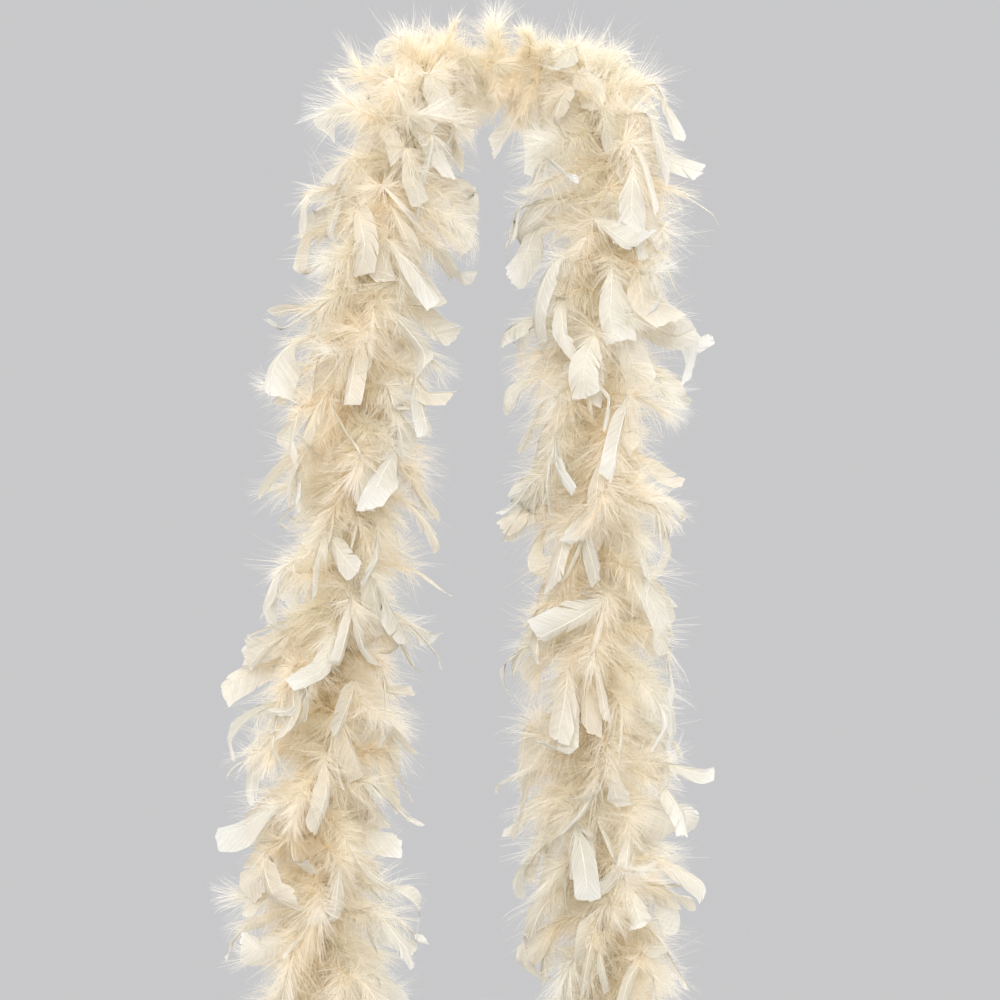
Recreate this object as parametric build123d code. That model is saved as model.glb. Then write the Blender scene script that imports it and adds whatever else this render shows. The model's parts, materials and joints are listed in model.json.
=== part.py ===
from build123d import *
from math import asin, atan2, cos, degrees, hypot, radians, sin, tan
import os

# A feather boa as it hangs round a neck: a twisted core cord with quills caught all along it, a binding
# thread between the quills, and a knot at each end. The wearer's front faces -Y, and the origin is on the
# neck's axis, a little below the nape of the boa. Sizes are in millimetres, angles in degrees.

# Core cord
CORE_DIAMETER = 6.0
ARC_SHARE = 0.45          # of a bend's shorter run that its arc takes up
END_GAP = 1.6             # half of the clearance between two lengths of core at a bend

# Feathers
FEATHER_PITCH = 3.4       # along the core, from one quill to the next
FEATHER_TURN = 137.508    # round the core, from one quill to the next
FEATHER_THICKNESS = 0.6
QUILL_WIDTH = 1.6
QUILL_GRIP = 1.0          # how deep a quill sits in the core
FIRST_QUILL = 3.5         # from a bend to the nearest quill
FULL_REACH = 80.0         # of a long feather; shorter ones lean as it does
LEAN_JITTER = 4.0
TWIST_JITTER = 16.0

# Binding thread
THREAD_WIDTH = 0.8
THREAD_RISE = 0.5         # how far a turn stands out from the core
THREAD_SINK = 0.15        # how far it bites into the core
THREAD_PITCH = 2 * FEATHER_PITCH

# Ends
BARE_END = 26.0           # core without feathers at each end
KNOT_RADIUS = 6.0
KNOT_STUB = 14.0

# Space that stays free
NECK_RADIUS = 50.0
NECK_BOTTOM = -75.0
MIDLINE_CLEARANCE = 14.0
BEND_CLEARANCE = 1.0
CROWDING_LIMIT = 0.45     # of the core's radius of curvature, how far a feather reaches towards its centre
CURVE_SPAN = 30.0         # length of core over which its curvature is taken

# Route of the core from the nape's middle to each end, the points that its runs would meet at
NAPE_MIDDLE = (0, 66, 22)
LEFT_ROUTE = [
    (-38, 56, 21), (-63, 24, 17), (-74, -18, 0), (-92, -55, -45), (-105, -80, -105),
    (-118, -92, -175), (-131, -95, -250), (-135, -96, -335), (-141, -95, -420), (-150, -96, -506),
    (-154, -95, -592), (-166, -96, -677), (-160, -95, -762), (-151, -96, -844),
]
RIGHT_ROUTE = [
    (38, 56, 21), (62, 25, 18), (78, -16, -5), (90, -52, -48), (94, -78, -108),
    (86, -92, -180), (78, -95, -260), (76, -96, -345), (81, -95, -430), (84.5, -96, -515),
    (81, -95, -599), (84, -96, -682), (92, -95, -764), (97, -96, -845),
]

# Bends, counted from the nape to the end of each tail: the collar's turn about the neck, then fore-and-aft
# and sideways swings in turn
COLLAR_BEND = 62.0        # from the nape's middle, along the core
SHOULDER_BEND = 224.0
TAIL_LENGTHS = 7
FORE_AFT = (1, 0, 0)
SIDEWAYS = (0, 1, 0)
UPRIGHT = (0, 0, 1)
BEND_ANGLE = 30.0         # the furthest that two neighbouring lengths bend

# Kinds of feather: root to fold, fold to tip, width, fold angle, slant of the cut tip
FEATHER_KINDS = [
    (50, 36, 18, 34, 4),
    (46, 34, 16, 24, -5),
    (54, 26, 19, 42, 3),
    (44, 40, 14, 18, -6),
    (34, 22, 16, 30, 3),
    (22, 14, 12, 24, -3),
    (9, 7, 7, 16, 1),
]
CUT_PLACE = 0.93          # of a feather's chord, where its tip is cut
CUT_WIDTH = 0.9           # of its width, how wide the cut is
LONG_KINDS = 4            # the first ones, taken in turn; a later one goes where these have no room
FIRST_TIP = 38.0          # from a length's inner bend to the tip of its first feather, along the core
LAST_TIP = 27.0           # from the tip of its last feather to its outer bend


def turn_radii(points):
    """The radius of each bend of a route, as large as its two runs allow."""
    radii = []
    for before, corner, after in zip(points, points[1:], points[2:]):
        coming, going = Vector(corner) - Vector(before), Vector(after) - Vector(corner)
        run = min(coming.length, going.length)
        radii.append(ARC_SHARE * run / tan(radians(coming.get_angle(going) / 2)))
    return radii


def core_path():
    """The whole core's centreline, from the left tail's end over the nape to the right tail's end."""
    points = LEFT_ROUTE[::-1] + [NAPE_MIDDLE] + RIGHT_ROUTE
    return FilletPolyline(*points, radius=turn_radii(points)).wire()


class Bend:
    """A place where two lengths of the boa turn against each other."""

    def __init__(self, place, along, axis):
        self.place = place
        self.along = along                                   # away from the nape
        self.axis = Vector(axis)
        self.swing = self.axis.cross(along).normalized()

    def leaves_room(self, point, outside):
        """Is a point clear of the neighbouring length over the whole swing?"""
        offset = point - self.place
        distance = offset.dot(self.along) * (1 if outside else -1)
        return distance >= tan(radians(BEND_ANGLE / 2)) * abs(offset.dot(self.swing)) + BEND_CLEARANCE


class Length:
    """A rigid length of the boa between two bends, from start to end along its side of the core."""

    def __init__(self, name, side, start, end, inner, outer):
        self.name, self.side = name, side
        self.start, self.end = start, end
        self.inner, self.outer = inner, outer

    def leaves_room(self, point):
        """Is a point clear of the neighbouring lengths, of the other tail and of the neck?"""
        if self.inner and not self.inner.leaves_room(point, outside=True):
            return False
        if self.outer and not self.outer.leaves_room(point, outside=False):
            return False
        if self.name != "nape" and self.side * point.X < MIDLINE_CLEARANCE:
            return False
        return point.Z < NECK_BOTTOM or hypot(point.X, point.Y) > NECK_RADIUS


class Boa:
    """The core's path, the bends on it and the lengths between them."""

    def __init__(self):
        self.path = core_path()
        self.total = self.path.length
        nape, _ = self.path.closest_points(Vertex(*NAPE_MIDDLE))
        self.middle = self.total * self.path.param_at_point(nape)
        self.bends = {}
        self.lengths = []
        self.divide()

    def place(self, side, distance):
        return self.path.position_at((self.middle + side * distance) / self.total)

    def along(self, side, distance):
        return self.path.tangent_at((self.middle + side * distance) / self.total) * side

    def curvature(self, side, distance):
        """How fast the core turns here, as a vector towards the inside of its curve."""
        near = max(-self.reach(side), distance - CURVE_SPAN / 2)
        far = min(self.reach(side), distance + CURVE_SPAN / 2)
        return (self.along(side, far) - self.along(side, near)) * (1 / (far - near))

    def reach(self, side):
        return self.total - self.middle if side > 0 else self.middle

    def divide(self):
        collars = {}
        for side, word in ((-1, "left"), (1, "right")):
            step = (self.reach(side) - SHOULDER_BEND) / TAIL_LENGTHS
            distances = [COLLAR_BEND] + [SHOULDER_BEND + step * n for n in range(TAIL_LENGTHS)]
            axes = [UPRIGHT] + [SIDEWAYS if n % 2 else FORE_AFT for n in range(TAIL_LENGTHS)]
            names = ["shoulder"] + [f"tail_{n + 1}" for n in range(TAIL_LENGTHS)]
            bends = [Bend(self.place(side, d), self.along(side, d), a) for d, a in zip(distances, axes)]
            ends = distances[1:] + [self.reach(side)]
            for n, name in enumerate(names):
                outer = bends[n + 1] if n + 1 < len(bends) else None
                self.lengths.append(Length(f"{word}_{name}", side, distances[n], ends[n], bends[n], outer))
                self.bends[f"{word}_{name}"] = bends[n]
            collars[side] = bends[0]
        nape = Length("nape", 1, -COLLAR_BEND, COLLAR_BEND, None, collars[1])
        left_collar = collars[-1]
        nape.inner = Bend(left_collar.place, left_collar.along * -1, left_collar.axis)
        self.lengths.insert(0, nape)


def core_length(boa, length):
    """The core between two bends, short of each by the clearance."""
    gaps = [END_GAP, END_GAP if length.outer else 0]
    ends = [length.start + gaps[0], length.end - gaps[1]]
    shares = sorted((boa.middle + length.side * d) / boa.total for d in ends)
    run = boa.path.trim(*shares)
    return sweep(Plane(origin=run @ 0, z_dir=run % 0) * Circle(CORE_DIAMETER / 2), path=run)


def fold_profile(first, second, fold):
    """Rise of the first part over the chord from root to tip, the chord's length and the fold's place."""
    chord = hypot(first + second * cos(radians(fold)), second * sin(radians(fold)))
    rise = atan2(second * sin(radians(fold)), first + second * cos(radians(fold)))
    return degrees(rise), chord, (first * cos(rise), first * sin(rise))


def feather_outline(chord, width, slant):
    """The outline from root to tip and back: a bare quill, a vane that widens, and a tip cut aslant."""
    half = [(0, QUILL_WIDTH / 2), (0.12, QUILL_WIDTH / 2), (0.26, 0.36 * width), (0.5, width / 2)]
    near = [(chord * x, y) for x, y in half] + [(chord * CUT_PLACE - slant, CUT_WIDTH / 2 * width)]
    far = [(chord * x, -y) for x, y in half] + [(chord * CUT_PLACE + slant, -CUT_WIDTH / 2 * width)]
    return near + [(chord, 0.12 * width)] + far[::-1]


def feather(first, second, width, fold, slant):
    """A folded flat feather: root at the origin, tip on +X, and the fold's ridge towards +Z."""
    rise, chord, ridge = fold_profile(first, second, fold)
    half = FEATHER_THICKNESS / 2
    back = Vector(-QUILL_GRIP, 0)
    centre = [back, Vector(*ridge), Vector(chord, 0)]
    normals = []
    for a, b in zip(centre, centre[1:]):
        run = (b - a).normalized()
        normals.append(Vector(-run.Y, run.X))
    mitre = (normals[0] + normals[1]).normalized() * (half / cos(radians(fold / 2)))
    offsets = [normals[0] * half, mitre, normals[1] * half]
    above = [p + o for p, o in zip(centre, offsets)]
    below = [p - o for p, o in zip(centre, offsets)]
    side_view = Plane.XZ * make_face(Polyline(*[(p.X, p.Y) for p in above + below[::-1]], close=True))
    points = feather_outline(chord, width, slant)
    grip = [(-2 * QUILL_GRIP, points[0][1]), (-2 * QUILL_GRIP, points[-1][1])]
    plan = make_face(Polyline(grip[0], *points, grip[1], close=True))
    return (extrude(side_view, amount=width, both=True) & extrude(plan, amount=chord, both=True)).solid()


def outline_points(first, second, width, fold, slant):
    """The feather's corners beyond its quill, in its own frame."""
    _, chord, ridge = fold_profile(first, second, fold)
    points = feather_outline(chord, width, slant)[2:-2] + [(ridge[0], width / 2), (ridge[0], -width / 2)]
    return [Vector(x, y, ridge[1] * min(x / ridge[0], (chord - x) / (chord - ridge[0]))) for x, y in points]


def feather_plane(boa, length, distance, number):
    """Where a feather's root sits on the core, which way it points and how it faces."""
    side = length.side
    centre, along = boa.place(side, distance), boa.along(side, distance)
    across = (Vector(0, 1, 0) - along * along.Y).normalized()
    other = along.cross(across)
    angle = radians(FEATHER_TURN * number)
    outward = across * cos(angle) + other * sin(angle)
    share = (distance - length.start) / (length.end - length.start)
    first = length.start + (LAST_TIP if length.name == "nape" else FIRST_TIP)
    tip = first + (length.end - LAST_TIP - first) * share
    lean = asin((tip - distance) / FULL_REACH) + radians(LEAN_JITTER * sin(2.3 * number))
    pointing = outward * cos(lean) + along * sin(lean)
    facing = outward * sin(lean) - along * cos(lean)
    twist = radians(TWIST_JITTER * sin(1.7 * number))
    facing = facing * cos(twist) + pointing.cross(facing) * sin(twist)
    return Plane(origin=centre + outward * (CORE_DIAMETER / 2), x_dir=pointing, z_dir=facing)


def feathers(boa, length, shapes):
    """All the feathers of one length; each is the largest kind that has room where it is."""
    placed = []
    end = length.end - (FIRST_QUILL if length.outer else BARE_END)
    count = int((end - length.start - FIRST_QUILL) / FEATHER_PITCH) + 1
    for n in range(count):
        distance = length.start + FIRST_QUILL + FEATHER_PITCH * n
        curvature = boa.curvature(length.side, distance)
        plane = feather_plane(boa, length, distance, round(distance / FEATHER_PITCH))
        kinds = [(n * 3 + k) % LONG_KINDS for k in range(LONG_KINDS)]
        for kind in kinds + list(range(LONG_KINDS, len(FEATHER_KINDS))):
            solid, corners = shapes[kind]
            points = [plane.from_local_coords(p) for p in corners]
            crowding = max((p - plane.origin).dot(curvature) for p in points)
            if crowding < CROWDING_LIMIT and all(length.leaves_room(p) for p in points):
                placed.append(plane.location * solid)
                break
    return placed


def thread_turns(boa, length):
    """Turns of the binding thread round one length of core, halfway between quills."""
    core = CORE_DIAMETER / 2
    turn = Cylinder(core + THREAD_RISE, THREAD_WIDTH) - Cylinder(core - THREAD_SINK, 2 * THREAD_WIDTH)
    end = length.end - (FIRST_QUILL if length.outer else BARE_END)
    first = length.start + FIRST_QUILL + FEATHER_PITCH / 2
    turns = []
    for n in range(int((end - first) / THREAD_PITCH) + 1):
        distance = first + THREAD_PITCH * n
        at = Plane(origin=boa.place(length.side, distance), z_dir=boa.along(length.side, distance))
        turns.append(at.location * turn.solid())
    return turns


def end_knot(boa, side):
    """A two-lobed knot below the core's end, with a short stub of cord under it."""
    down = Plane(origin=boa.place(side, boa.reach(side)), z_dir=boa.along(side, boa.reach(side)))
    upper = Pos(0, 0, 0.8 * KNOT_RADIUS) * Sphere(KNOT_RADIUS)
    lower = Pos(0, 0, 1.6 * KNOT_RADIUS) * Sphere(0.85 * KNOT_RADIUS)
    stub = Pos(0, 0, 1.6 * KNOT_RADIUS + KNOT_STUB / 2) * Cylinder(CORE_DIAMETER / 2, KNOT_STUB)
    above = Pos(0, 0, -KNOT_RADIUS) * Box(4 * KNOT_RADIUS, 4 * KNOT_RADIUS, 2 * KNOT_RADIUS)
    return down.location * (upper + lower + stub - above)


def save(shapes, name):
    """Write one sub-part's solids."""
    export_step(Compound(shapes), f"parts/{name}.step")


def main():
    os.makedirs("parts", exist_ok=True)
    boa = Boa()
    print("core", round(boa.total), "mm; bend radii",
          [round(r) for r in turn_radii(LEFT_ROUTE[::-1] + [NAPE_MIDDLE] + RIGHT_ROUTE)])
    shapes = [(feather(*kind), outline_points(*kind)) for kind in FEATHER_KINDS]
    count = 0
    for length in boa.lengths:
        core = core_length(boa, length)
        save(core.solids(), f"core_{length.name}")
        plumes = feathers(boa, length, shapes)
        count += len(plumes)
        save(plumes, f"feathers_{length.name}")
        save(thread_turns(boa, length), f"thread_{length.name}")
    for side, word in ((-1, "left"), (1, "right")):
        save(end_knot(boa, side).solids(), f"{word}_end_knot")
    print("feathers", count)


if __name__ == "__main__":
    main()
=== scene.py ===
import json
import math

import bpy
import numpy as np
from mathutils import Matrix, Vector

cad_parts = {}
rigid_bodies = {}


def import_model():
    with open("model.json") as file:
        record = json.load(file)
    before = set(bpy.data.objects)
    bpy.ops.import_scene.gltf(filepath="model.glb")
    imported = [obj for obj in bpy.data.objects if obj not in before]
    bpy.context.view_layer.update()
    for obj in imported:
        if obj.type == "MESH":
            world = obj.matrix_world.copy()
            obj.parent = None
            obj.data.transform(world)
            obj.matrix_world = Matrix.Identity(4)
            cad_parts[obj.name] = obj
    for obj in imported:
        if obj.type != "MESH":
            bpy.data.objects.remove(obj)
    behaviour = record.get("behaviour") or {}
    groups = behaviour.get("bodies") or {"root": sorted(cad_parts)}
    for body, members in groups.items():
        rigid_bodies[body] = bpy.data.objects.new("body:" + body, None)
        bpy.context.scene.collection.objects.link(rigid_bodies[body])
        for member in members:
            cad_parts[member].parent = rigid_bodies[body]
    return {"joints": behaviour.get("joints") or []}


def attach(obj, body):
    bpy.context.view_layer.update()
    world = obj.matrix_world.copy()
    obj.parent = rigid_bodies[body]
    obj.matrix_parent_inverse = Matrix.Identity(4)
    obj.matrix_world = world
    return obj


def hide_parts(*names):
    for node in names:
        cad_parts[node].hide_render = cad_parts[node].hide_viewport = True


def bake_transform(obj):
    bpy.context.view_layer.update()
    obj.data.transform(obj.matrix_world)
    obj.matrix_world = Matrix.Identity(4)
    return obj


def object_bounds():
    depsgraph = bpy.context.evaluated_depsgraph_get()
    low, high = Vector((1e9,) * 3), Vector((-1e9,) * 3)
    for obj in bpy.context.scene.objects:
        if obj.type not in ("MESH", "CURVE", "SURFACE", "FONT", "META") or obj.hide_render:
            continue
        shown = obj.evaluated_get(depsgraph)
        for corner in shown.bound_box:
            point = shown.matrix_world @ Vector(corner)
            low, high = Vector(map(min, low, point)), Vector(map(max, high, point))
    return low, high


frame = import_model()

# A feather boa as it hangs round a neck. Its feathers, core, thread and knots are built on one smooth
# line, and cut into sections from mid-length to mid-length of the imported bodies, so that each section
# holds the joint in its middle. Metres; the wearer's front faces -Y. Left is -X and right is +X.

cad_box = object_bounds()

SIDES = (("left", -1), ("right", 1))

# The core's route, from the left tail's end over the nape to the right tail's end
ROUTE = [
    (-0.151, -0.096, -0.844), (-0.160, -0.095, -0.762), (-0.166, -0.096, -0.677), (-0.154, -0.095, -0.592),
    (-0.150, -0.096, -0.506), (-0.141, -0.095, -0.420), (-0.135, -0.096, -0.335), (-0.131, -0.095, -0.250),
    (-0.118, -0.092, -0.175), (-0.105, -0.080, -0.105), (-0.092, -0.055, -0.045), (-0.074, -0.018, 0.000),
    (-0.063, 0.024, 0.017), (-0.038, 0.056, 0.021), (0.000, 0.066, 0.022), (0.038, 0.056, 0.021),
    (0.062, 0.025, 0.018), (0.078, -0.016, -0.005), (0.090, -0.052, -0.048), (0.094, -0.078, -0.108),
    (0.086, -0.092, -0.180), (0.078, -0.095, -0.260), (0.076, -0.096, -0.345), (0.081, -0.095, -0.430),
    (0.0845, -0.096, -0.515), (0.081, -0.095, -0.599), (0.084, -0.096, -0.682), (0.092, -0.095, -0.764),
    (0.097, -0.096, -0.845),
]
NAPE_MIDDLE = (0.000, 0.066, 0.022)
BARE_END = 0.026          # core without feathers at each end

# Core, thread and knots
CORE_DIAMETER = 0.006
CORE_STEP = 0.0015        # between the rings of the core's mesh
PLIES = 3
PLY_SHARE = 0.27          # a ply's radius, of the cord's diameter
PLY_TURN = 0.016          # length in which a ply winds round once
THREAD_RADIUS = 0.0003
THREAD_STEPS = 12         # mesh rings in each turn of the thread
KNOT_DIAMETER = 0.0047    # the cord's, pulled tight in its knot
KNOT_SIZE = 0.0023
KNOT_STEP = 0.001
KNOT_DROP = 0.0075        # from the end of the core's route to the knot's middle
STUB_DROP = 0.0225        # and to the end of the stub below the knot

# Feathers; places along a feather are shares of its own length
FEATHER_PITCH = 0.0034    # along the core, from one quill to the next
FEATHER_TURN = math.radians(137.508)
KINDS = (                 # the share of all feathers up to this kind, and its shortest and longest
    ("vane", 0.68, 0.077, 0.144), ("blade", 0.86, 0.082, 0.144), ("tuft", 1.00, 0.049, 0.086))
LONG_PLACE = 0.25         # on the right side, how far from the nape feathers are longest
LONG_SPREAD = 0.08
LONG_MORE = 0.13          # and how much longer they are there
SHORT_PLACE = 0.07        # the same for the short feathers round the neck, on both sides
SHORT_SPREAD = 0.085
SHORT_LESS = 0.34
RADIAL = 0.095            # the length over which a feather's colour runs from its root's to its tip's: deeper gold near the core, partly the feathers' own base tone and partly painted shade of the deep fluff

# A feather's midrib
STATIONS = 26
LEAN = (-2, 36)           # degrees towards the tail's end
LEAN_NOISE = 0.10
FOLD = (0.41, 0.59)
SOONER = 0.13             # how much sooner the feathers at the front and back fold
SHARP_FOLDS = 0.65        # of all folds
SHARP_FOLD = (0.03, 0.09)
SOFT_FOLD = (0.2, 0.4)
OUTWARDS = (0.0, 0.9)     # what the way of the part beyond the fold is made of
DOWNWARDS = (0.15, 1.2)
SIDEWAYS = 0.5
TUFT_DOWNWARDS = (0.2, 0.7)
KINKED = 0.5              # of all feathers
KINK = (0.66, 0.84)
KINK_LENGTH = 0.05
KINK_TURN = 0.7
SAG = 0.08
CURL = (0, 0.75)
TWIST = 0.35
FACE_TURN = (52, 18)      # degrees that the face is turned by, and how much less at the front and back
QUILL_RINGS = 16
QUILL_SIDES = 4
QUILL_RADIUS = 0.0008     # at the foot, on top of the tip's
QUILL_TIP_RADIUS = 0.00024

# A vane, with its two webs
BASE = (0.25, 0.37)       # where it begins
CROWN = 0.965             # where its last barbs leave the midrib
BLADE_WIDTH = (0.004, 0.009)
VANE_WIDTH = (0.012, 0.028)
BLADE_BARBS = 22          # on each side
VANE_BARBS = 34
NARROW_WEB = (0.16, 0.5)  # its share of the width
SLANT = 0.09
CORNER = (0.7, 0.86)      # the share of barbs below the tip
CAMBER = (-0.15, 0.45)
RAGGED = (0.02, 0.16)
MOST_LOCKS = 4            # in each web
RIDGE = 0.00016           # by which every other barb is raised or sunk
WEB_RUN = np.array([0, 0.22, 0.5, 0.76, 1.0])   # a barb's points, from the midrib to its end

# Down, and the comb of open barbs between it and the vane
DOWN_BARBS = 440
TUFT_BARBS = 510
CLUMP = 5                 # barbs of loose down that draw together
DOWN_TOP = 0.52           # how far up a feather it grows
DOWN_OPENING = (30, 78)   # degrees from the quill
DOWN_LIFT = 36            # degrees out of the feather's plane
DOWN_LENGTH = (0.019, 0.034)
LONG_CLUMPS = 0.15
LONG_CLUMP = 1.4
UNDER_OPENING = (40, 115)
UNDER_LIFT = (-80, 80)
UNDER_LENGTH = (0.012, 0.026)
COMB_BARBS = 32
COMB_OPENING = (58, 34)
COMB_LENGTH = (0.016, 0.024)
BARB_WIDTH = (0.00034, 0.00064)
BARB_RUN = np.array([0, 0.3, 0.65, 1.0])        # a ribbon's points, from its root to its tip
DRAWN = 0.28              # how much the tips of a clump draw together

# How far feathers reach
EASY_REACH = 0.092        # from a quill's foot; what lies beyond is drawn in
REINED_SHARE = 0.35       # of the rest that stays
NECK_RADIUS = 0.050
NECK_BOTTOM = -0.075
NECK_BESIDE = 0.012       # how near the neck a feather counts as near it, sideways and below
NECK_BELOW = 0.020
NECK_SHRINK = 0.5         # of a feather's length near the neck
NECK_GIVE = 0.42          # of the depth at which down would lie inside the neck, what stays
NECK_FADE = 0.03
PAST_END = 0.052          # beyond a section's end; what lies further out is drawn in
PAST_SHARE = 0.35         # of the rest that stays
BETWEEN_X = -0.012        # the plane between the two shoulders
BETWEEN_GAP = 0.012       # room on each side of it
BETWEEN_PUSH = 0.7        # of what reaches over, the share that is pushed back
BETWEEN_LOW = (-0.36, 0.08)   # where that push begins, upwards, and how far it takes to grow full
BETWEEN_BACK = (0.01, 0.04)   # and the same from the back forwards
EDGE_SHARE = 0.03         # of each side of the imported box, how far fibres may stand out of it
EDGE_SPARE = 0.0085
EDGE_SOFT = 0.010         # the depth in which tips at that edge are drawn in

DOWN = np.array([0.0, 0.0, -1.0])
SHARE = np.linspace(0, 1, STATIONS)


# Small helpers

def smooth(x):
    x = np.clip(x, 0, 1)
    return x * x * (3 - 2 * x)


def unit(v):
    return v / np.maximum(np.linalg.norm(v, axis=-1, keepdims=True), 1e-12)


def turned(v, axis, angle):
    """v turned about a unit axis."""
    c, s = np.cos(angle)[..., None], np.sin(angle)[..., None]
    return v * c + np.cross(axis, v) * s + axis * (v * axis).sum(-1, keepdims=True) * (1 - c)


def lengths(path):
    """The length of a path up to each of its points."""
    return np.concatenate([[0], np.cumsum(np.linalg.norm(np.diff(path, axis=0), axis=1))])


def between(places, values, path):
    """The points of a path at some places, given the value at each of its own points."""
    return np.stack([np.interp(places, values, path[:, k]) for k in range(3)], -1)


def transported(path):
    """Two directions across a path that turn as little as they can along it."""
    t = unit(np.gradient(path, axis=0))
    a = np.zeros_like(path)
    a[0] = unit(np.cross(t[0], [1.0, 0.3, 0.2]))
    for k in range(1, len(path)):
        a[k] = unit(a[k - 1] - t[k] * (a[k - 1] @ t[k]))
    return a, np.cross(t, a)


# The core's line and its sections

class Line:
    """The core's centreline, read from its spline and measured from the middle of the nape."""

    def __init__(self, route):
        curve = bpy.data.curves.new("core_line", "CURVE")
        curve.dimensions = "3D"
        curve.resolution_u = 32
        spline = curve.splines.new("NURBS")
        spline.points.add(len(route) - 1)
        for point, place in zip(spline.points, route):
            point.co = (*place, 1)
        spline.order_u = 3
        spline.use_endpoint_u = True
        holder = bpy.data.objects.new("core_line", curve)
        bpy.context.scene.collection.objects.link(holder)
        mesh = bpy.data.meshes.new_from_object(holder)
        self.points = np.array([v.co for v in mesh.vertices], float)
        bpy.data.objects.remove(holder)
        bpy.data.meshes.remove(mesh)
        self.run = lengths(self.points)
        self.run -= self.nearest(NAPE_MIDDLE)

    def nearest(self, place):
        return self.run[np.linalg.norm(self.points - np.array(place), axis=1).argmin()]

    def reach(self, side):
        return abs(self.run[-1 if side > 0 else 0])

    def at(self, run):
        return between(run, self.run, self.points)

    def along(self, side, run):
        """The way towards the tail's end."""
        step = 0.004
        return unit(self.at(side * run + step) - self.at(side * run - step)) * side


class Section:
    """A stretch of the boa between the middles of two bodies, on one side of the nape."""

    def __init__(self, name, side, near, far, bodies):
        self.name, self.side, self.near, self.far, self.bodies = name, side, near, far, bodies

    def take(self, piece, kind, slot):
        """Leaves a piece in world space when the section spans two bodies, or makes it ride with its one
        body, and hides their CAD nodes.
        """
        if len(self.bodies) == 2:
            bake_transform(piece)
        else:
            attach(piece, self.bodies[0])
        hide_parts(*[f"{kind}_{body}" for body in self.bodies])


def make_sections():
    made = []
    for word, side in SIDES:
        joints = [j for j in frame["joints"] if j["name"].startswith(word)]
        pivots = [abs(line.nearest(j["pos_m"])) for j in joints]
        cuts = [0.0] + [(a + b) / 2 for a, b in zip(pivots, pivots[1:] + [line.reach(side)])]
        for joint, near, far in zip(joints, cuts, cuts[1:]):
            made.append(Section(joint["name"], side, near, far, [joint["parent"], joint["child"]]))
        made.append(Section(f"{word}_end", side, cuts[-1], line.reach(side), [joints[-1]["child"]]))
    return made


# Meshes

class Pile:
    """Quads with two UV maps, gathered into one mesh."""

    def __init__(self):
        self.co, self.quads, self.bake, self.grain, self.material = [], [], [], [], []
        self.count = 0

    def add_grid(self, co, bake, grain, material, closed=False):
        """co is (patches, rows, columns, 3); bake and grain are (patches, rows, columns, 2)."""
        patches, rows, columns = co.shape[:3]
        index = self.count + np.arange(patches * rows * columns).reshape(patches, rows, columns)
        here = index if closed else index[:, :, :-1]
        beside = np.roll(index, -1, axis=2) if closed else index[:, :, 1:]
        quads = np.stack([here[:, :-1], beside[:, :-1], beside[:, 1:], here[:, 1:]], -1).reshape(-1, 4)
        self.co.append(co.reshape(-1, 3))
        self.bake.append(np.broadcast_to(bake, (*co.shape[:3], 2)).reshape(-1, 2))
        self.grain.append(np.broadcast_to(grain, (*co.shape[:3], 2)).reshape(-1, 2))
        self.quads.append(quads)
        self.material.append(np.full(len(quads), material))
        self.count += patches * rows * columns

    def mesh(self, name, materials):
        co, quads = np.concatenate(self.co), np.concatenate(self.quads)
        mesh = bpy.data.meshes.new(name)
        mesh.vertices.add(len(co))
        mesh.vertices.foreach_set("co", co.astype(np.float32).ravel())
        mesh.loops.add(len(quads) * 4)
        mesh.loops.foreach_set("vertex_index", quads.ravel().astype(np.int32))
        mesh.polygons.add(len(quads))
        mesh.polygons.foreach_set("loop_start", np.arange(0, len(quads) * 4, 4, dtype=np.int32))
        mesh.polygons.foreach_set("material_index", np.concatenate(self.material).astype(np.int32))
        mesh.update(calc_edges=True)
        mesh.polygons.foreach_set("use_smooth", np.ones(len(quads), bool))
        for title, values in (("OFBake", self.bake), ("grain", self.grain)):
            layer = mesh.uv_layers.new(name=title)
            corners = np.concatenate(values)[quads.ravel()]
            layer.data.foreach_set("uv", corners.astype(np.float32).ravel())
        for material in materials:
            mesh.materials.append(material)
        piece = bpy.data.objects.new(name, mesh)
        bpy.context.scene.collection.objects.link(piece)
        return piece


# Materials

def ramp(nodes, stops):
    node = nodes.new("ShaderNodeValToRGB")
    elements = node.color_ramp.elements
    for n, (place, colour) in enumerate(stops):
        element = elements[n] if n < 2 else elements.new(place)
        element.position = place
        element.color = (*colour, 1)
    return node


def uv_map(nodes, title):
    node = nodes.new("ShaderNodeUVMap")
    node.uv_map = title
    return node.outputs["UV"]


def multiplied(nodes, links, one, other):
    mix = nodes.new("ShaderNodeMix")
    mix.data_type = "RGBA"
    mix.blend_type = "MULTIPLY"
    mix.inputs["Factor"].default_value = 1.0
    links.new(one, mix.inputs["A"])
    links.new(other, mix.inputs["B"])
    return mix.outputs["Result"]


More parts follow.
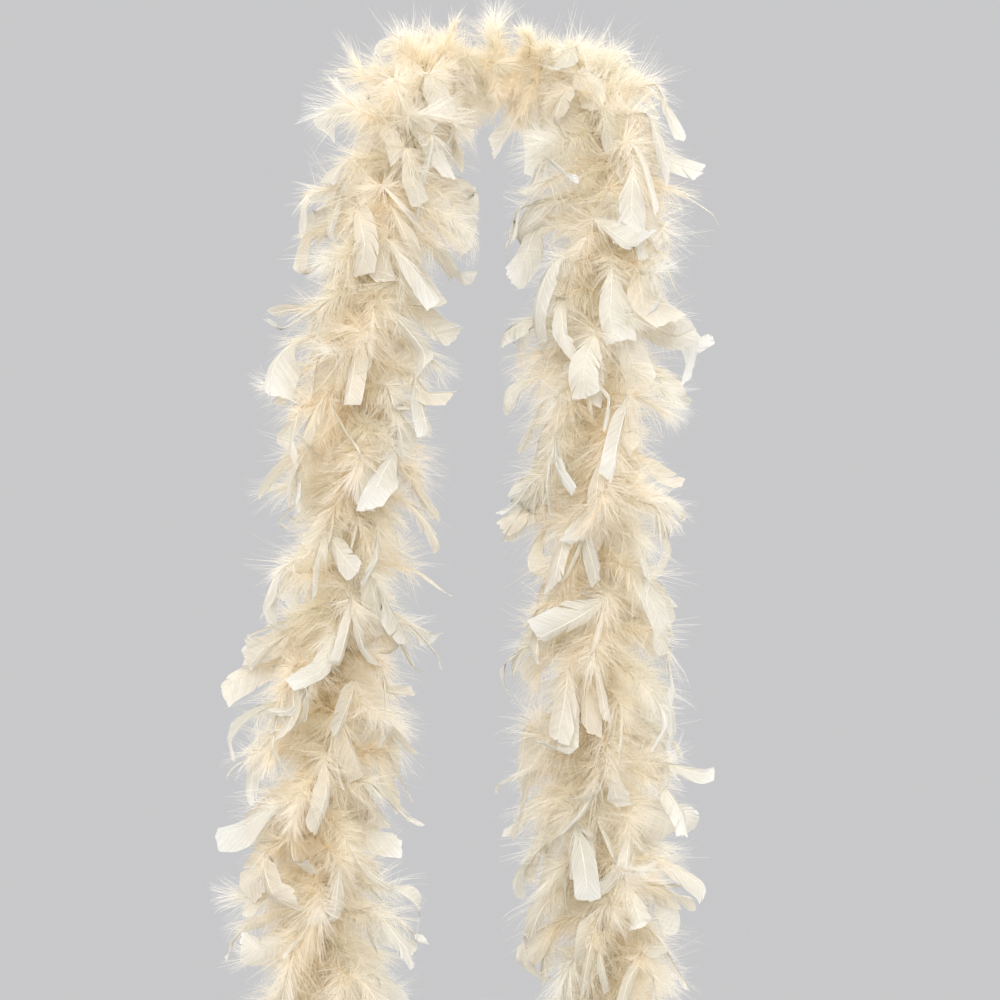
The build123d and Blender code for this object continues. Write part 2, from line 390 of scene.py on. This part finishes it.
def fibre_material(name, stops, through, roughness, sheen, bump, scale, fleck):
    """Colour runs from root to tip along OFBake's U, and differs between feathers along its V.

    Noise on the grain map darkens it by up to fleck and raises it by bump, and light comes through to
    the other side by the share through.
    """
    material = bpy.data.materials.new(name)
    material.use_nodes = True
    nodes, links = material.node_tree.nodes, material.node_tree.links
    shader = nodes["Principled BSDF"]
    shader.inputs["Roughness"].default_value = roughness
    shader.inputs["Sheen Weight"].default_value = sheen
    shader.inputs["Specular IOR Level"].default_value = 0.35
    split = nodes.new("ShaderNodeSeparateXYZ")
    links.new(uv_map(nodes, "OFBake"), split.inputs[0])
    along = ramp(nodes, stops)
    links.new(split.outputs["X"], along.inputs["Fac"])
    tint = ramp(nodes, WARM_TO_COOL)
    links.new(split.outputs["Y"], tint.inputs["Fac"])
    noise = nodes.new("ShaderNodeTexNoise")
    noise.inputs["Scale"].default_value = scale
    noise.inputs["Detail"].default_value = 3.0
    links.new(uv_map(nodes, "grain"), noise.inputs["Vector"])
    streak = ramp(nodes, [(0.3, (1 - fleck,) * 3), (0.65, (1, 1, 1))])
    links.new(noise.outputs["Fac"], streak.inputs["Fac"])
    colour = multiplied(nodes, links, along.outputs["Color"], tint.outputs["Color"])
    colour = multiplied(nodes, links, colour, streak.outputs["Color"])
    links.new(colour, shader.inputs["Base Color"])
    raised = nodes.new("ShaderNodeBump")
    raised.inputs["Strength"].default_value = bump
    raised.inputs["Distance"].default_value = 0.0004
    links.new(noise.outputs["Fac"], raised.inputs["Height"])
    links.new(raised.outputs["Normal"], shader.inputs["Normal"])
    if through:
        glow = nodes.new("ShaderNodeBsdfTranslucent")
        links.new(colour, glow.inputs["Color"])
        both = nodes.new("ShaderNodeMixShader")
        both.inputs["Fac"].default_value = through
        links.new(shader.outputs[0], both.inputs[1])
        links.new(glow.outputs[0], both.inputs[2])
        links.new(both.outputs[0], nodes["Material Output"].inputs["Surface"])
    return material


WARM_TO_COOL = [(0.0, (1.0, 0.965, 0.90)), (0.5, (1, 1, 1)), (1.0, (0.965, 0.985, 1.0))]
# The down, vane and quill ramps run from a deeper, darker gold at the core to paler tips: partly the
# feathers' own tone, partly painted shade of the deep fluff round the core
down_material = fibre_material(
    "down",
    [(0.0, (0.97, 0.885, 0.69)), (0.22, (0.975, 0.915, 0.78)), (0.55, (0.975, 0.93, 0.84)),
     (1.0, (0.975, 0.95, 0.895))],
    through=0.45, roughness=0.75, sheen=0.2, bump=0.2, scale=6.0, fleck=0.05)
# The vane's whiter last stop is reached only by its barbs' ends: a painted highlight along its edges
vane_material = fibre_material(
    "vane",
    [(0.0, (0.91, 0.82, 0.62)), (0.4, (0.90, 0.85, 0.735)), (0.8, (0.86, 0.825, 0.745)),
     (1.0, (0.935, 0.915, 0.86))],
    through=0.42, roughness=0.5, sheen=0.1, bump=0.8, scale=3.4, fleck=0.17)
quill_material = fibre_material(
    "quill",
    [(0.0, (0.78, 0.58, 0.30)), (0.4, (0.92, 0.84, 0.66)), (1.0, (0.95, 0.93, 0.84))],
    through=0.15, roughness=0.35, sheen=0.0, bump=0.1, scale=8.0, fleck=0.08)
cord_material = fibre_material(
    "core_cord",
    [(0.0, (0.80, 0.70, 0.51)), (1.0, (0.86, 0.78, 0.61))],
    through=0.0, roughness=0.85, sheen=0.2, bump=0.8, scale=60.0, fleck=0.3)
thread_material = fibre_material(
    "thread",
    [(0.0, (0.84, 0.73, 0.52)), (1.0, (0.88, 0.79, 0.60))],
    through=0.0, roughness=0.6, sheen=0.3, bump=0.5, scale=60.0, fleck=0.2)

# Their places in the slots of a feather piece
DOWN_SLOT, VANE_SLOT, QUILL_SLOT = 0, 1, 2


# Core, thread and knots

def add_tube(pile, path, radius, sides, bake_u, grain_v=0.0):
    """A tube of one colour; its grain runs along it and round it."""
    a, b = transported(path)
    turns = np.arange(sides) * 2 * math.pi / sides
    ring = a[:, None] * np.cos(turns)[:, None] + b[:, None] * np.sin(turns)[:, None]
    shape = (len(path), sides)
    co = (path[:, None] + ring * radius)[None]
    bake = np.stack([np.full(shape, bake_u), np.full(shape, 0.5)], -1)
    along = np.broadcast_to(lengths(path)[:, None] * 20, shape)
    grain = np.stack([along, np.broadcast_to(turns / 6 + grain_v, shape)], -1)
    pile.add_grid(co, bake[None], grain[None], 0, closed=True)


def wound(path, radius, phase):
    """A path that winds round another one."""
    a, b = transported(path)
    return path + (a * np.cos(phase)[:, None] + b * np.sin(phase)[:, None]) * radius


def add_plies(pile, path, run, diameter):
    """The plies of a cord, wound round its path."""
    ply = diameter * PLY_SHARE
    for k in range(PLIES):
        phase = 2 * math.pi * (run / PLY_TURN + k / PLIES)
        strand = wound(path, diameter / 2 - ply, phase)
        add_tube(pile, strand, ply, sides=8, bake_u=0.2 + 0.3 * k, grain_v=k)


def make_core(sections):
    """The core's pieces, each with its section and its path."""
    made = []
    for section in sections:
        run = np.arange(section.near, section.far + CORE_STEP / 3, CORE_STEP)
        run[-1] = section.far
        path = line.at(section.side * run)
        pile = Pile()
        add_plies(pile, path, run, CORE_DIAMETER)
        piece = pile.mesh(f"core_{section.name}", [cord_material])
        section.take(piece, "core", "core_cord")
        made.append((section, piece, path))
    return made


def make_thread(sections):
    """One helix of thread on the core, with a turn for each quill."""
    for section in sections:
        last = min(section.far, line.reach(section.side) - BARE_END)
        run = np.arange(section.near, last, FEATHER_PITCH / THREAD_STEPS)
        phase = 2 * math.pi * run / FEATHER_PITCH
        strand = wound(line.at(section.side * run), CORE_DIAMETER / 2 + THREAD_RADIUS, phase)
        pile = Pile()
        add_tube(pile, strand, THREAD_RADIUS, sides=4, bake_u=0.5)
        piece = pile.mesh(f"thread_{section.name}", [thread_material])
        section.take(piece, "thread", "thread")


def overhand_loop():
    """An overhand knot's closed part, round 0; its second axis points up, and it starts at the top."""
    open_end = 0.32
    turn = np.linspace(open_end, 2 * math.pi - open_end, 64) + math.pi / 3
    loop = np.stack([np.sin(turn) + 2 * np.sin(2 * turn), np.cos(turn) - 2 * np.cos(2 * turn),
                     -1.15 * np.sin(3 * turn)], -1) * KNOT_SIZE
    way = unit((loop[0] + loop[-1]) / 2)
    sideways = np.array([-way[1], way[0], 0.0])
    if (loop[0] - loop[-1]) @ sideways < 0:
        sideways = -sideways
    local = loop - loop.mean(axis=0)
    return np.array([local @ way, local @ sideways, local[:, 2]]).T


def make_knot(word, side):
    """An overhand knot in the core's end, with a short stub below it."""
    end = line.at(side * line.reach(side))
    t = line.along(side, line.reach(side) - 0.005)
    x = unit(np.cross(t, [0.0, 1.0, 0.0]))
    y = np.cross(t, x)
    loop = overhand_loop()
    path = end + t * KNOT_DROP + x * loop[:, 0:1] - t * loop[:, 1:2] + y * loop[:, 2:3]
    lead = smooth(np.linspace(0, 1, 8))[:, None]
    top = end + (path[0] - end) * lead
    foot = path[-1] + (end + t * STUB_DROP - path[-1]) * lead
    whole = np.concatenate([top[:-1], path, foot[1:]])
    run = lengths(whole)
    even = np.arange(0, run[-1], KNOT_STEP)
    pile = Pile()
    add_plies(pile, between(even, run, whole), even, KNOT_DIAMETER)
    piece = pile.mesh(f"{word}_end_knot_tied", [cord_material])
    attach(piece, f"{word}_tail_7")
    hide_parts(f"{word}_end_knot")
    return piece


# Feathers

def swell(side, run):
    """How much longer feathers are on the right shoulder, where the boa is at its widest."""
    return 1 + (LONG_MORE * math.exp(-((run - LONG_PLACE) / LONG_SPREAD) ** 2) if side > 0 else 0)


def local_size(side, run):
    """Feathers are a little longer in some places, and shorter round the neck."""
    collar = 1 - SHORT_LESS * math.exp(-((run - SHORT_PLACE) / SHORT_SPREAD) ** 2)
    wave = 0.06 * math.sin(61 * run + side) + 0.08 * math.sin(143 * run + 2 * side)
    return (swell(side, run) + wave) * collar


class Feather:
    """One feather's midrib: a quill that leaves the core, folds, and hangs under its own weight.

    At each station, c is its place, t its direction, b the way across the feather and n the way out of
    its face.
    """

    def __init__(self, rng, side, run):
        along = line.along(side, run)
        across = unit(np.array([0.0, 1.0, 0.0]) - along * along[1])
        angle = FEATHER_TURN * round(run / FEATHER_PITCH)
        out = across * math.cos(angle) + np.cross(along, across) * math.sin(angle)
        lean = math.radians(rng.uniform(*LEAN))
        first = unit(out * math.cos(lean) + along * math.sin(lean) + rng.normal(0, LEAN_NOISE, 3))
        draw = rng.random()
        self.kind, _, shortest, longest = next(kind for kind in KINDS if draw < kind[1])
        self.length = (shortest + (longest - shortest) * rng.random() ** 1.15) * local_size(side, run)
        facing = smooth((abs(out[1]) - 0.25) / 0.5)  # 0 at the boa's sides, 1 at its front and back
        fold = rng.uniform(*FOLD) - SOONER * facing
        second = self.hanging(rng, out, facing)
        self.t = self.bent(rng, first, second, fold)
        self.grow(line.at(side * run) + out * CORE_DIAMETER / 2)
        crease = unit(np.cross(first, second))
        face_turn, less = FACE_TURN
        width = turned(crease, first, np.array(rng.normal(0, math.radians(face_turn - less * facing))))
        twist = rng.normal(0, TWIST) * smooth((SHARE - fold) / (1 - fold))
        self.b = turned(self.carried(width), self.t, twist)
        self.n = np.cross(self.t, self.b)
        self.base = rng.uniform(*BASE)
        self.tint = rng.random()

    def hanging(self, rng, out, facing):
        """The way that the outer part points; it hangs more at the front and back of the boa."""
        sideways = np.cross(out, DOWN)
        way = (out * rng.uniform(*OUTWARDS) * (1 - 0.7 * facing) + DOWN * rng.uniform(*DOWNWARDS)
               + DOWN * 0.3 * facing + sideways * rng.normal(0, SIDEWAYS))
        if self.kind == "tuft":
            way = out + DOWN * rng.uniform(*TUFT_DOWNWARDS)
        return unit(way)

    def bent(self, rng, first, second, fold):
        """Directions along the midrib: a fold, for half of the feathers a kink too, a sag and a curl."""
        half = rng.uniform(*SHARP_FOLD) if rng.random() < SHARP_FOLDS else rng.uniform(*SOFT_FOLD)
        turn = smooth((SHARE - fold + half) / (2 * half))[:, None]
        third = unit(second + rng.normal(0, KINK_TURN, 3)) if rng.random() < KINKED else second
        kink = smooth((SHARE - rng.uniform(*KINK)) / KINK_LENGTH)[:, None]
        outer = second * (1 - kink) + third * kink
        sag = (SAG * SHARE ** 2)[:, None]
        curl = unit(rng.normal(0, 1, 3)) * rng.uniform(*CURL)
        curl = curl * smooth((SHARE - fold) / (1 - fold))[:, None]
        return unit(first * (1 - turn) + outer * turn + DOWN * sag + curl)

    def grow(self, foot):
        """Lays the midrib from its foot; a feather that comes near the neck is a short tuft instead."""
        middle = (self.t[1:] + self.t[:-1]) / 2
        step = self.length / (STATIONS - 1)
        self.c = np.concatenate([[foot], foot + np.cumsum(middle, axis=0) * step])
        beside = np.hypot(self.c[:, 0], self.c[:, 1]) < NECK_RADIUS + NECK_BESIDE
        self.near_neck = bool((beside & (self.c[:, 2] > NECK_BOTTOM - NECK_BELOW)).any())
        if self.near_neck:
            self.kind = "tuft"
            self.c = foot + (self.c - foot) * NECK_SHRINK
            self.length *= NECK_SHRINK

    def carried(self, width):
        """The way across the feather, carried along the midrib without turning round it."""
        b = np.repeat(width[None], STATIONS, axis=0)
        for k in range(STATIONS):
            before = b[max(k - 1, 0)]
            b[k] = unit(before - self.t[k] * (before @ self.t[k]))
        return b

    def sample(self, share):
        """c, t, b and n at shares of the length; past the tip the midrib runs straight on."""
        place = np.clip(share, 0, 1) * (STATIONS - 1)
        low = np.minimum(place.astype(int), STATIONS - 2)
        part = (place - low)[..., None]
        c, t, b, n = ((1 - part) * x[low] + part * x[low + 1] for x in (self.c, self.t, self.b, self.n))
        c = c + t * (np.maximum(share - 1, 0) * self.length)[..., None]
        return c, t, b, n


def shade(distance, tint, shape):
    """The bake map's place for a distance out from the core."""
    u = np.clip(distance / RADIAL, 0.01, 0.99)
    v = np.full(shape, 0.02 + 0.96 * tint)
    return np.stack([np.broadcast_to(u, shape), v], -1)


def add_quill(pile, f):
    """A thin tapered tube, a little flatter than it is wide."""
    share = np.linspace(0, 0.985 if f.kind != "tuft" else 0.9, QUILL_RINGS)
    c, _, b, n = f.sample(share)
    radius = (QUILL_RADIUS * (1 - share) ** 0.7 + QUILL_TIP_RADIUS)[:, None, None]
    turns = np.arange(QUILL_SIDES) * 2 * math.pi / QUILL_SIDES
    ring = b[:, None] * np.cos(turns)[:, None] + n[:, None] * np.sin(turns)[:, None] * 0.8
    co = (c[:, None] + ring * radius)[None]
    shape = co.shape[1:3]
    bake = shade(share[:, None] * f.length, f.tint, shape)
    grain = np.stack([np.broadcast_to(share[:, None], shape), np.broadcast_to(turns / 6, shape)], -1)
    pile.add_grid(co, bake[None], grain[None], QUILL_SLOT, closed=True)


def web_outline(rng, base, side, count, corner, slant):
    """For each barb of a web: how far up it ends, how wide the web is there, and its lock's number."""
    q = np.linspace(0, 1, count)
    edge = q < corner
    end = np.where(edge, base + 0.14 + (0.86 - base) * q / corner, 1.0)
    wide = np.where(edge, smooth(0.45 + 1.8 * q), 1 - 0.97 * (q - corner) / (1 - corner))
    end = end + slant * wide * side + 0.02 * (1 - wide)
    cuts = np.sort(rng.choice(np.arange(4, count - 3), rng.integers(0, MOST_LOCKS), replace=False))
    lock = np.searchsorted(cuts, np.arange(count), side="right")
    ragged = rng.uniform(*RAGGED)
    ends = end * 1.0
    for k in range(lock.max() + 1):
        mine = lock == k
        ends[mine] += (end[mine].mean() - end[mine]) * ragged * rng.uniform(0.5, 1.5)
    ends += rng.normal(0, 0.006, count)
    return ends, wide, lock


def add_locks(pile, rng, co, bake, grain, lock):
    """The locks of a web, each a patch that parts from the next one towards its barbs' ends."""
    count = len(lock)
    for k in range(lock.max() + 1):
        mine = np.flatnonzero(lock == k)
        parted = mine[-1] + 1 < count
        if parted:
            mine = np.append(mine, mine[-1] + 1)
        patch = co[mine].copy()
        if parted:
            gap = (WEB_RUN ** 1.5)[:, None] * rng.uniform(0.1, 0.9)
            patch[-1] = patch[-1] + (patch[-2] - patch[-1]) * gap
        pile.add_grid(patch[None], bake[mine][None], grain[mine][None], VANE_SLOT)


def add_vane(pile, f, rng):
    """Two webs of barbs, one each side of the midrib, parted into locks by splits that open outwards."""
    if f.kind == "blade":
        width, count = rng.uniform(*BLADE_WIDTH), BLADE_BARBS
    else:
        width, count = rng.uniform(*VANE_WIDTH), VANE_BARBS
    narrow = rng.uniform(*NARROW_WEB)
    shares = (narrow, 1 - narrow) if rng.random() < 0.5 else (1 - narrow, narrow)
    slant = rng.uniform(-SLANT, SLANT)
    corner = rng.uniform(*CORNER)
    camber = rng.uniform(*CAMBER)
    r = WEB_RUN
    root = f.base + (CROWN - f.base) * np.linspace(0, 1, count)
    for side, part in zip((-1, 1), shares):
        ends, wide, lock = web_outline(rng, f.base, side, count, corner, slant)
        length = root[:, None] + (ends - root)[:, None] * r ** 1.25
        lateral = width * part * wide[:, None] * r ** 0.88
        c, _, b, n = f.sample(length)
        ridge = np.where(np.arange(count) % 2, RIDGE, -RIDGE)[:, None] * np.sin(math.pi * r * 0.8)
        bow = -camber * lateral ** 2 / 0.012 + 0.0011 * np.sin(lock * 2.4 + f.tint * 9)[:, None] * r
        co = c + b * (side * lateral)[..., None] + n * (bow + ridge)[..., None]
        # The barbs' ends are moved up the ramp towards the vane's whiter last stop: a painted highlight
        # along the vane's edges
        bake = shade(length * f.length * 0.82 + 0.016 * smooth((r - 0.7) / 0.3), f.tint, length.shape)
        streak = np.broadcast_to(np.arange(count)[:, None] * 0.37 + 20 * f.tint * side, length.shape)
        grain = np.stack([streak, np.broadcast_to(0.25 * r, length.shape)], -1)
        add_locks(pile, rng, co, bake, grain, lock)


def add_barbs(pile, f, rng, place, side, opening, lift, size, curl, clump):
    """Tapered ribbons that leave the midrib; every few neighbours draw together at their tips."""
    c, t, b, n = f.sample(place)
    away = unit(b) * (side * np.cos(lift))[:, None] + unit(n) * np.sin(lift)[:, None]
    start = unit(t) * np.cos(opening)[:, None] + away * np.sin(opening)[:, None]
    curl = curl + t * 0.22 + DOWN * 0.14
    r = BARB_RUN
    path = (c[:, None] + start[:, None] * (size[:, None] * r)[..., None]
            + curl[:, None] * (size[:, None] * r ** 2)[..., None])
    tips = path.reshape(-1, clump, len(r), 3)
    pull = (tips.mean(axis=1, keepdims=True) - tips) * (DRAWN * r ** 2)[None, None, :, None]
    path = (tips + pull).reshape(-1, len(r), 3)
    across = unit(np.cross(start, rng.normal(0, 1, (len(start), 3))))
    width = rng.uniform(*BARB_WIDTH, len(start))[:, None] * (1 - 0.82 * r ** 1.4)
    edge = across[:, None] * (width / 2)[..., None]
    co = np.stack([path - edge, path + edge], 2)
    shape = co.shape[1:3]
    distance = (place * f.length)[:, None] + size[:, None] * r * 0.8
    bake = shade(distance[..., None], f.tint, co.shape[:3])
    grain = np.stack([np.broadcast_to(r[:, None], shape), np.broadcast_to([0.0, 0.1], shape)], -1)
    pile.add_grid(co, bake, grain[None], DOWN_SLOT)


def add_down(pile, f, rng):
    """Loose down in small clumps, thickest round the quill's foot; a tuft has it up to its tip."""
    tuft = f.kind == "tuft"
    clumps = (TUFT_BARBS if tuft else DOWN_BARBS) // CLUMP
    count = clumps * CLUMP

    def per_clump(values, jitter):
        return np.repeat(values, CLUMP) + rng.normal(0, jitter, count)

    if tuft:
        places = rng.beta(1.0, 0.9, clumps) * 0.98
    else:
        places = rng.beta(0.9, 1.5, clumps) * DOWN_TOP
    place = np.clip(per_clump(places, 0.025), 0.02, 0.99)
    side = np.repeat(rng.choice([-1, 1], clumps), CLUMP)
    opening = per_clump(rng.uniform(*DOWN_OPENING, clumps) + 22 * (1 - smooth(places / 0.25)), 5)
    if tuft:
        opening = opening * (1 - 0.72 * smooth((place - 0.45) / 0.55))
    lift = per_clump(rng.normal(0, DOWN_LIFT, clumps), 6)
    longer = np.where(rng.random(clumps) < LONG_CLUMPS, LONG_CLUMP, 1.0)
    size = np.repeat(rng.uniform(*DOWN_LENGTH, clumps) * longer, CLUMP) * rng.uniform(0.7, 1.1, count)
    if f.near_neck:
        size = size * 0.6
    elif not tuft:
        size = size * (1 - 0.18 * smooth(place / 0.5))
    curl = np.repeat(rng.normal(0, 0.28, (clumps, 3)), CLUMP, axis=0) + rng.normal(0, 0.14, (count, 3))
    add_barbs(pile, f, rng, place, side, np.radians(opening), np.radians(lift), size, curl, CLUMP)


def add_under_down(pile, f, rng):
    """Short down that stands out all round the quill's foot and hides the core."""
    count, high = (240, 0.3) if f.near_neck else (64, 0.16)
    place = rng.uniform(0.01, high, count)
    side = rng.choice([-1, 1], count)
    opening = np.radians(rng.uniform(*UNDER_OPENING, count))
    lift = np.radians(rng.uniform(*UNDER_LIFT, count))
    size = rng.uniform(*UNDER_LENGTH, count)
    add_barbs(pile, f, rng, place, side, opening, lift, size, rng.normal(0, 0.25, (count, 3)), clump=4)


def add_comb(pile, f, rng):
    """Barbs that lie side by side in the feather's plane, between its down and its closed vane."""
    for side in (-1, 1):
        place = np.linspace(0.20, f.base + 0.16, COMB_BARBS)
        size = rng.uniform(*COMB_LENGTH) * (1 - 0.2 * np.linspace(0, 1, COMB_BARBS))
        size = size * rng.uniform(0.8, 1.1, COMB_BARBS)
        opening = np.radians(np.linspace(*COMB_OPENING, COMB_BARBS) + rng.normal(0, 3, COMB_BARBS))
        lift = np.radians(rng.normal(0, 7) + rng.normal(0, 4, COMB_BARBS))
        curl = rng.normal(0, 0.08, 3) + rng.normal(0, 0.03, (COMB_BARBS, 3))
        add_barbs(pile, f, rng, place, np.full(COMB_BARBS, side), opening, lift, size, curl, clump=4)


# How far feathers reach

def reined(co, foot, easy):
    """Tips that would reach too far from their quill's foot are drawn in."""
    arm = co - foot
    distance = np.linalg.norm(arm, axis=1)
    wanted = easy + (distance - easy) * REINED_SHARE
    return foot + arm * np.where(distance > easy, wanted / np.maximum(distance, 1e-6), 1)[:, None]


def kept_short(co, section):
    """Tips that reach far past a section's ends are drawn in, clear of the section after next."""
    for end, way in ((section.near, -1), (section.far, 1)):
        along = line.along(section.side, end) * way
        past = (co - line.at(section.side * end)) @ along
        co = co - along * (np.maximum(past - PAST_END, 0) * (1 - PAST_SHARE))[:, None]
    return co


def kept_apart(co, side):
    """Tips that point at the other shoulder stop short of the plane between the two."""
    past = BETWEEN_GAP - (co[:, 0] - BETWEEN_X) * side
    (low, rise), (back, depth) = BETWEEN_LOW, BETWEEN_BACK
    high = smooth((co[:, 2] - low) / rise) * smooth((back - co[:, 1]) / depth)
    co = co.copy()
    co[:, 0] += side * np.maximum(past, 0) * BETWEEN_PUSH * high
    return co


def pressed(co):
    """Down that would lie inside the neck lies against it; the push fades out below the neck."""
    radius = np.hypot(co[:, 0], co[:, 1])
    high = smooth((co[:, 2] - NECK_BOTTOM) / NECK_FADE + 1)
    wanted = NECK_RADIUS - NECK_GIVE * (NECK_RADIUS - radius)
    grow = np.where(radius < NECK_RADIUS, 1 + (wanted / np.maximum(radius, 0.012) - 1) * high, 1)
    out = co.copy()
    out[:, :2] *= grow[:, None]
    return out


def kept_in(co):
    """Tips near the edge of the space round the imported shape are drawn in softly."""
    low, high = (np.array(corner) for corner in cad_box)
    middle, half = (low + high) / 2, (high - low) / 2 + EDGE_SHARE * (high - low) + EDGE_SPARE - EDGE_SOFT
    arm = co - middle
    over = np.maximum(np.abs(arm) - half, 0)
    reach = np.minimum(np.abs(arm), half) + EDGE_SOFT * (1 - np.exp(-over / EDGE_SOFT))
    return middle + np.sign(arm) * reach


def make_feathers(sections):
    """One piece for each section, with all the feathers that leave the core in it."""
    rng = np.random.default_rng(24)
    for section in sections:
        pile = Pile()
        last = line.reach(section.side) - BARE_END
        first = math.ceil(section.near / FEATHER_PITCH - 0.5)
        runs = (np.arange(first, first + 200) + 0.5) * FEATHER_PITCH
        for run in runs[(runs < section.far) & (runs < last)]:
            feather = Feather(rng, section.side, run)
            made = len(pile.co)
            add_quill(pile, feather)
            if feather.kind != "tuft":
                add_vane(pile, feather, rng)
                add_comb(pile, feather, rng)
            add_down(pile, feather, rng)
            add_under_down(pile, feather, rng)
            easy = EASY_REACH * swell(section.side, run)
            pile.co[made:] = [reined(co, feather.c[0], easy) for co in pile.co[made:]]
        co = kept_short(np.concatenate(pile.co), section)
        pile.co = [kept_in(pressed(kept_apart(co, section.side)))]
        piece = pile.mesh(f"feathers_{section.name}", [down_material, vane_material, quill_material])
        section.take(piece, "feathers", "feather")


# Camera, floor and light

def make_camera():
    """Level, from the front, far enough away for the long lens of a catalogue picture."""
    distance, across = 4.0, 0.88
    data = bpy.data.cameras.new("camera")
    data.sensor_width = 36.0
    data.lens = data.sensor_width * distance / across
    camera = bpy.data.objects.new("camera", data)
    camera.location = (-0.004, -0.095 - distance, -0.374)
    camera.rotation_euler = (math.radians(90), 0, 0)
    bpy.context.scene.collection.objects.link(camera)
    bpy.context.scene.camera = camera


def make_floor():
    """A round floor below the tails, with a short skirt."""
    radius, sides, drop = 0.95, 128, 0.02
    floor_z = cad_box[0][2] - 0.06
    turns = np.arange(sides) * 2 * math.pi / sides
    ring = [(radius * math.cos(a), radius * math.sin(a), floor_z) for a in turns]
    skirt = [(x * 1.004, y * 1.004, z - drop) for x, y, z in ring]
    walls = [(k, k + sides, (k + 1) % sides + sides, (k + 1) % sides) for k in range(sides)]
    mesh = bpy.data.meshes.new("floor")
    mesh.from_pydata(ring + skirt, [], [list(range(sides))] + walls)
    floor = bpy.data.objects.new("floor", mesh)
    bpy.context.scene.collection.objects.link(floor)
    material = bpy.data.materials.new("floor")
    material.use_nodes = True
    shader = material.node_tree.nodes["Principled BSDF"]
    shader.inputs["Base Color"].default_value = (0.46, 0.455, 0.445, 1)
    shader.inputs["Roughness"].default_value = 0.8
    mesh.materials.append(material)


def make_world():
    """Even grey all round; pale down needs many bounces and a plain view transform to stay pale."""
    world = bpy.data.worlds.new("studio")
    world.use_nodes = True
    background = world.node_tree.nodes["Background"]
    background.inputs["Color"].default_value = (0.58, 0.58, 0.59, 1)
    background.inputs["Strength"].default_value = 1.0
    bpy.context.scene.world = world
    bpy.context.scene.view_settings.view_transform = "Standard"
    bpy.context.scene.cycles.diffuse_bounces = 8


def make_light(name, place, target, size, power):
    """A round soft light that faces its target."""
    data = bpy.data.lights.new(name, "AREA")
    data.shape = "DISK"
    data.size = size
    data.energy = power
    light = bpy.data.objects.new(name, data)
    light.location = place
    light.rotation_euler = (Vector(target) - Vector(place)).to_track_quat("-Z", "Y").to_euler()
    bpy.context.scene.collection.objects.link(light)


make_camera()

line = Line(ROUTE)
sections = make_sections()
cords = make_core(sections)
make_feathers(sections)
make_thread(sections)
knots = {side: make_knot(word, side) for word, side in SIDES}

make_floor()
make_world()
make_light("key", (-1.6, -3.0, 1.4), (0, 0, -0.38), size=2.0, power=42)
make_light("front", (0.0, -3.3, 0.55), (0, 0, -0.40), size=1.4, power=56)
make_light("fill", (2.2, -2.8, 0.2), (0, 0, -0.38), size=2.4, power=36)
make_light("top", (0.3, 1.6, 2.4), (0, 0, -0.2), size=1.6, power=52)
make_light("left", (-3.0, 0.6, 0.0), (0, 0, -0.38), size=2.0, power=38)
make_light("right", (3.0, 1.0, 0.2), (0, 0, -0.38), size=2.0, power=38)
